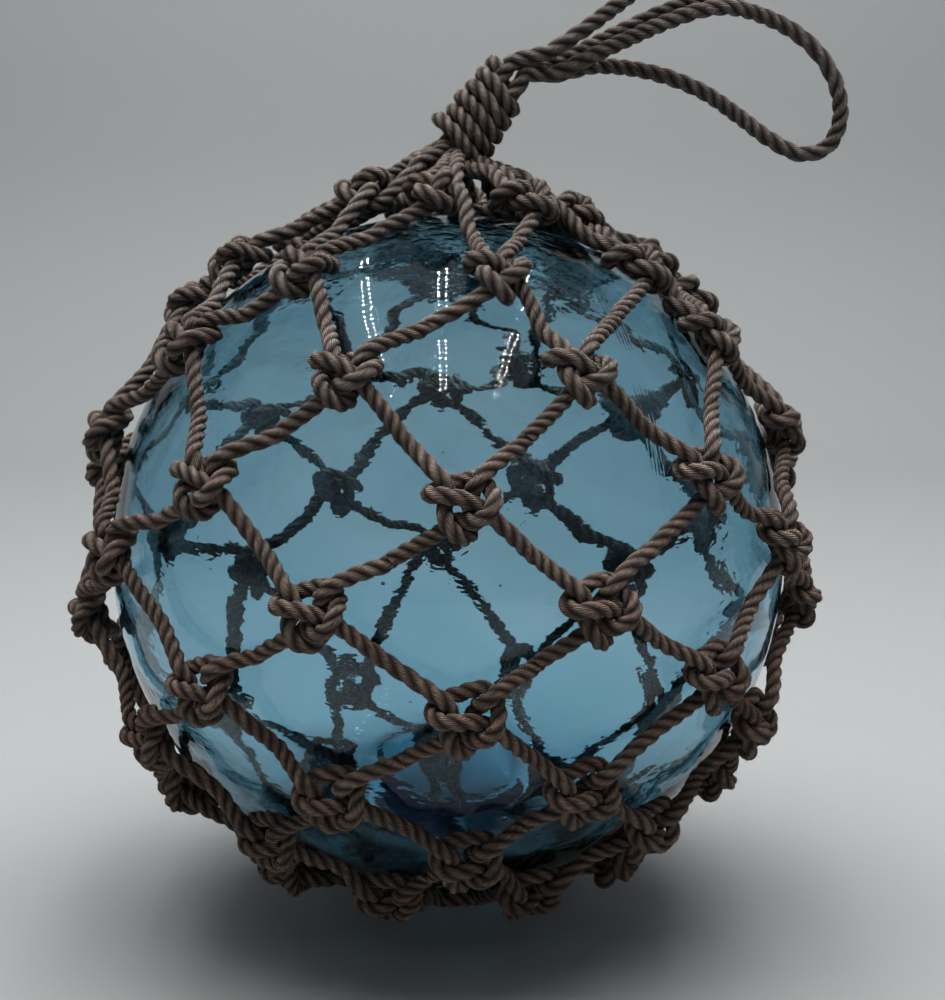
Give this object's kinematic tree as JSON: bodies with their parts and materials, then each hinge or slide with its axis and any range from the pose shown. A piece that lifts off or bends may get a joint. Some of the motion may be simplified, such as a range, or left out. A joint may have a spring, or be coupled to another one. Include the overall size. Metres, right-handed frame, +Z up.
{
  "type": "netted glass float ball",
  "caption": "Sealed round glass float in a knotted rope net, drawn up under a rope lashing at the top, with rope loops to hang or carry it by.",
  "frame": {"origin": "on the surface the float stands on, straight below the ball's centre", "axes": "+Z up; -Y faces the viewer of the picture; +X is the side that the lashing and the hanging loops lean to"},
  "size_m": [0.3428, 0.3275, 0.4428],
  "materials": {
    "aqua_glass": "polished, rippled",
    "net_rope": "laid three-strand rope, matt",
    "loop_rope": "laid three-strand rope, matt"
  },
  "bodies": {
    "root": {"glass_ball": "aqua_glass", "net": "net_rope", "net_crown": "net_rope", "bottom_ring": "net_rope", "lashing": "net_rope", "hanging_loop_low": "loop_rope", "hanging_loop_high": "loop_rope"}
  },
  "joints": []
}
